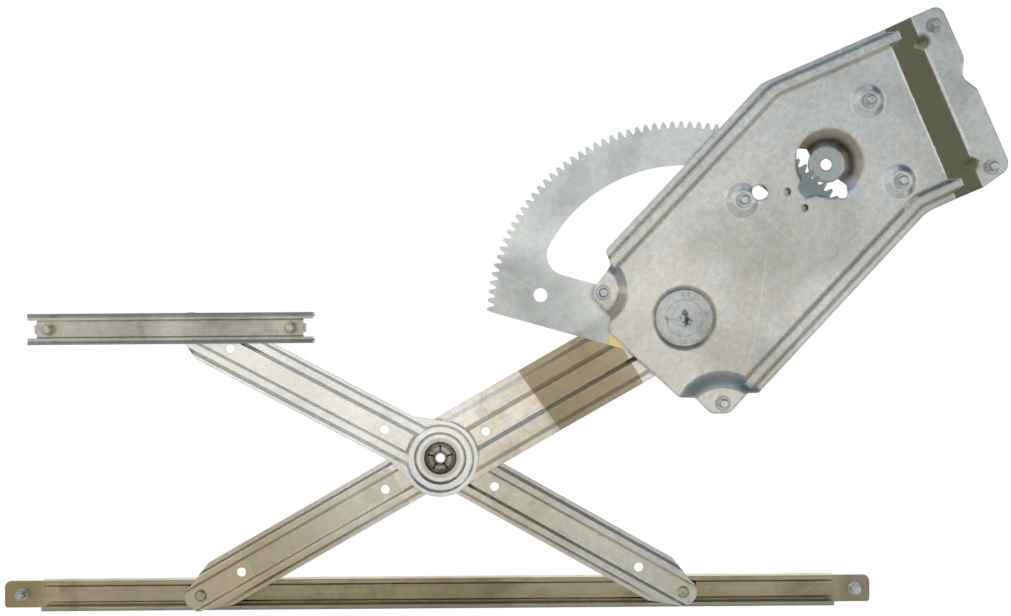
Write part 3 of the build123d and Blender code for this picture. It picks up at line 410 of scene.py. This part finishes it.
pin_mat = steel(
    "pin_steel", (lin(222, 222, 218), lin(184, 183, 178)), rough=0.27, round_mm=0.5,
    scratches=0.3, mottle=0.2, bump=0.5, grime=(0.5, 160.0, lin(96, 88, 70)),
    # the staking marks on the pivot's end, with painted dark shade for their pits and a painted
    # blue sheen at the lower end
    lines=[((0.0498, -0.0095), (0.0530, -0.0225), 0.0030, lin(66, 63, 58)),
           ((0.0512, -0.0115), (0.0528, -0.0205), 0.0016, lin(34, 33, 32)),
           ((0.0460, -0.0160), (0.0505, -0.0150), 0.0014, lin(96, 92, 84)),
           ((0.0520, -0.0190), (0.0533, -0.0235), 0.0012, (0.55, 0.64, 0.72, 1))])
warm_pin_mat = steel(
    "pin_yellow_zinc", (lin(214, 206, 184), lin(164, 152, 124)), rough=0.25, round_mm=0.9,
    mottle=0.2, bump=0.4, grime=(0.6, 240.0, lin(96, 82, 52)))
hub_mat = steel(
    "hub_greased", (lin(240, 234, 224), lin(142, 128, 106)), rough=0.26, round_mm=0.4,
    mottle=0.25, bump=0.6, grime=(1.0, 520.0, lin(30, 24, 18)),
    stains_and_painted_light=[(HUB, 0.0036, 0.0048, 0.0006, lin(46, 38, 30), 0.6),
            (HUB, 0.0070, 0.0105, 0.0008, lin(58, 48, 36), 0.65)])
grease_mat = steel(
    "hub_grease", (lin(84, 72, 56), lin(40, 33, 25)), rough=0.30, round_mm=0.2,
    mottle=0.3, bump=0.8, stains_and_painted_light=[(HUB, 0.0, 0.0034, 0.0003, lin(226, 224, 218), 0.9)])
bronze_mat = steel(
    "bush_bronze", (lin(170, 140, 96), lin(132, 104, 66)), rough=0.40, round_mm=0.2,
    grime=(0.5, 200.0, lin(60, 44, 26)))
nylon_mat = plastic("shoe_nylon", lin(40, 38, 34))
washer_mat = plastic("washer_nylon", lin(54, 48, 38))

ASSIGN = {
    "base_plate": plate_mat, "sector_gear": sector_mat, "lift_arm": arm_mat,
    "idler_arm_upper": idler_mat, "idler_arm_lower": idler_low_mat,
    "guide_rail": guide_mat, "lift_rail": rail_mat,
    "panel_studs": stud_mat, "motor_studs": stud_mat, "lift_rail_studs": stud_mat,
    "guide_rail_studs": warm_pin_mat, "lift_arm_shoe_pin": warm_pin_mat,
    "idler_shoe_pins": warm_pin_mat,
    "pivot_pin": pin_mat, "pivot_collar": pin_mat, "sector_rivets": pin_mat,
    "pivot_bush": bronze_mat, "scissor_hub": hub_mat,
    "pivot_washer": washer_mat, "hub_washer_front": washer_mat, "hub_washer_rear": washer_mat,
    "lift_arm_shoe": nylon_mat, "idler_lower_shoe": nylon_mat, "idler_upper_shoe": nylon_mat,
}


def smooth(mesh):
    for polygon in mesh.polygons:
        polygon.use_smooth = True


def new_object(name, data):
    made = bpy.data.objects.new(name, data)
    bpy.context.scene.collection.objects.link(made)
    return made


for name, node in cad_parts.items():
    for slot in node.material_slots:
        slot.material = ASSIGN[name]
    if not node.material_slots:
        node.data.materials.append(ASSIGN[name])
    smooth(node.data)


# ---- old grease under the hub's petals ---------------------------------------------------------
# The petals close in over a ring of packed grease, which narrows the bore and fills the slits.
hub_low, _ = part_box("scissor_hub")
film_front = hub_low[1] + 0.00205
film_back = film_front + 0.0006
RINGS = [(0.0027, 0.00010), (0.0028, 0.0), (0.0033, 0.0), (0.0040, 0.00012),
         (0.0052, 0.00006), (0.0066, 0.00012), (0.0084, 0.0)]      # radius, set back
SIDES = 72
LUMPS = 0.00006
verts, faces = [], []
for radius, drop in RINGS:
    for i in range(SIDES):
        turn = 2 * math.pi * i / SIDES
        lump = LUMPS * math.sin(7 * turn + radius * 900) * math.sin(5 * turn + 1.3)
        verts.append((HUB[0] + radius * math.cos(turn), film_front + drop + abs(lump),
                      HUB[1] + radius * math.sin(turn)))
for radius, _ in reversed(RINGS):
    for i in range(SIDES):
        turn = 2 * math.pi * i / SIDES
        verts.append((HUB[0] + radius * math.cos(turn), film_back,
                      HUB[1] + radius * math.sin(turn)))
loops = 2 * len(RINGS)
for loop in range(loops):
    here, there = loop * SIDES, (loop + 1) % loops * SIDES
    for i in range(SIDES):
        j = (i + 1) % SIDES
        faces.append((here + i, here + j, there + j, there + i))
film_mesh = bpy.data.meshes.new("hub_grease")
film_mesh.from_pydata(verts, [], faces)
film_mesh.update()
film_mesh.materials.append(grease_mat)
smooth(film_mesh)
film = new_object("hub_grease", film_mesh)
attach(film, "idler")

# ---- floor -------------------------------------------------------------------------------------
# It ends where it does because the arms reflect it, and the photograph's view misses it.
FLOOR_SIDE, FLOOR_FRONT, FLOOR_BACK, FLOOR_TOP = 4.0, -2.3, 1.05, -0.40
floor_mesh = bpy.data.meshes.new("floor")
floor_mesh.from_pydata(
    [(-FLOOR_SIDE, FLOOR_FRONT, FLOOR_TOP), (FLOOR_SIDE, FLOOR_FRONT, FLOOR_TOP),
     (FLOOR_SIDE, FLOOR_BACK, FLOOR_TOP), (-FLOOR_SIDE, FLOOR_BACK, FLOOR_TOP)],
    [], [(0, 1, 2, 3)])
floor = new_object("floor", floor_mesh)
floor_mat, _, shader, _ = new_surface("floor_paper")
shader.inputs["Base Color"].default_value = lin(250, 243, 230)
shader.inputs["Roughness"].default_value = 0.9
floor_mesh.materials.append(floor_mat)

# ---- world -------------------------------------------------------------------------------------
world = bpy.data.worlds.new("studio")
bpy.context.scene.world = world
world.use_nodes = True
world.node_tree.nodes.clear()
g = Graph(world.node_tree)
out = g.add("ShaderNodeOutputWorld")
back = g.add("ShaderNodeBackground")
direction = g.split(g.add("ShaderNodeTexCoord").outputs["Generated"])


def by_direction(component, stops):
    """Ramp over a component of the direction, whose stops run from -1 to 1."""
    return g.ramp(g.scaled(component, 0.5, 0.5),
                  [(at * 0.5 + 0.5, colour) for at, colour in stops])


# In front: a bright window straight ahead, cool and dim above, pale below, dimmer at the sides.
up_down = by_direction(direction["Z"], [
    (-1.0, (0.60, 0.59, 0.56)), (-0.5, (0.66, 0.64, 0.60)), (-0.25, (0.72, 0.69, 0.63)),
    (-0.160, (0.78, 0.73, 0.64)), (-0.100, (1.06, 1.01, 0.92)), (-0.02, (1.14, 1.12, 1.09)),
    (0.045, (0.98, 0.97, 0.96)), (0.10, (0.57, 0.63, 0.66)), (0.35, (0.38, 0.49, 0.58)),
    (0.7, (0.17, 0.24, 0.33)), (1.0, (0.11, 0.16, 0.24)),
])
left_right = by_direction(direction["X"], [
    (-1.0, (0.50, 0.53, 0.50)), (-0.6, (0.50, 0.53, 0.50)), (-0.30, (0.90, 0.90, 0.89)),
    (-0.2, (1.0, 1.0, 1.0)), (-0.03, (1.0, 1.0, 1.0)), (0.07, (0.90, 0.92, 0.94)),
    (0.16, (0.84, 0.88, 0.92)), (0.27, (0.72, 0.80, 0.86)), (0.5, (0.74, 0.76, 0.77)),
    (1.0, (0.74, 0.75, 0.75)),
])
sky = g.mix(1.0, up_down, left_right, "MULTIPLY")
# A pale blue light over the top and left sides, level with the object.
up_left = g.math("MULTIPLY", g.math("SUBTRACT", direction["Z"], direction["X"]), 0.707)
overhead = g.product(g.between(direction["Y"], (-0.32, -0.08), (0.12, 0.27)),
                     g.above(up_left, 0.05, 0.45))
sky = g.mix(overhead, sky, (0.72, 0.83, 0.92, 1.0))
# A narrow bright light at the left, a little below.
beside = g.product(g.between(direction["X"], (-0.48, -0.44), (-0.40, -0.34)),
                   g.between(direction["Z"], (-0.20, -0.14), (-0.05, 0.0)))
sky = g.mix(beside, sky, (1.5, 1.5, 1.45, 1.0))
# Behind the object hangs a white sheet.
sky = g.mix(g.above(direction["Y"], 0.72, 0.90), sky, (1.0, 1.0, 1.0, 1.0))
g.link(sky, back.inputs["Color"])
back.inputs["Strength"].default_value = 1.0
g.link(back.outputs[0], out.inputs[0])


# ---- lamps and camera --------------------------------------------------------------------------
def area_light(name, place, target, size, power, colour):
    light = bpy.data.lights.new(name, "AREA")
    light.shape = "RECTANGLE"
    light.size, light.size_y = size
    light.energy = power
    light.color = colour
    lamp = new_object(name, light)
    lamp.location = place
    aim = Vector(target) - Vector(place)
    lamp.rotation_euler = aim.to_track_quat("-Z", "Y").to_euler()


area_light("key", (-1.3, -1.5, 1.0), (-0.05, 0.0, -0.05), (1.4, 1.0), 6.0, (1.0, 0.97, 0.92))
area_light("fill", (1.5, -1.3, 0.5), (0.0, 0.0, 0.0), (1.2, 1.2), 2.5, (0.90, 0.95, 1.0))
area_light("back", (0.2, 1.6, 1.1), (0.0, 0.0, 0.0), (1.4, 1.0), 8.0, (1.0, 1.0, 1.0))

# The photograph's view: 1.1 m in front, square on, turned 0.44 degrees about the line of sight.
SENSOR_MM = 36.0
DISTANCE_MM = 1100.0
PHOTO_WIDTH = 1011
MM_PER_PIXEL = 0.618
ROLL = -0.44
camera_data = bpy.data.cameras.new("camera")
camera_data.sensor_width = SENSOR_MM
camera_data.lens = SENSOR_MM * DISTANCE_MM / (PHOTO_WIDTH * MM_PER_PIXEL)
camera = new_object("camera", camera_data)
camera.matrix_world = (
    Matrix.Translation((-0.0597, -1.0865, -0.0088))
    @ Matrix.Rotation(math.radians(90), 4, "X")
    @ Matrix.Rotation(math.radians(ROLL), 4, "Z")
)
bpy.context.scene.camera = camera
bpy.context.scene.view_settings.view_transform = "Standard"
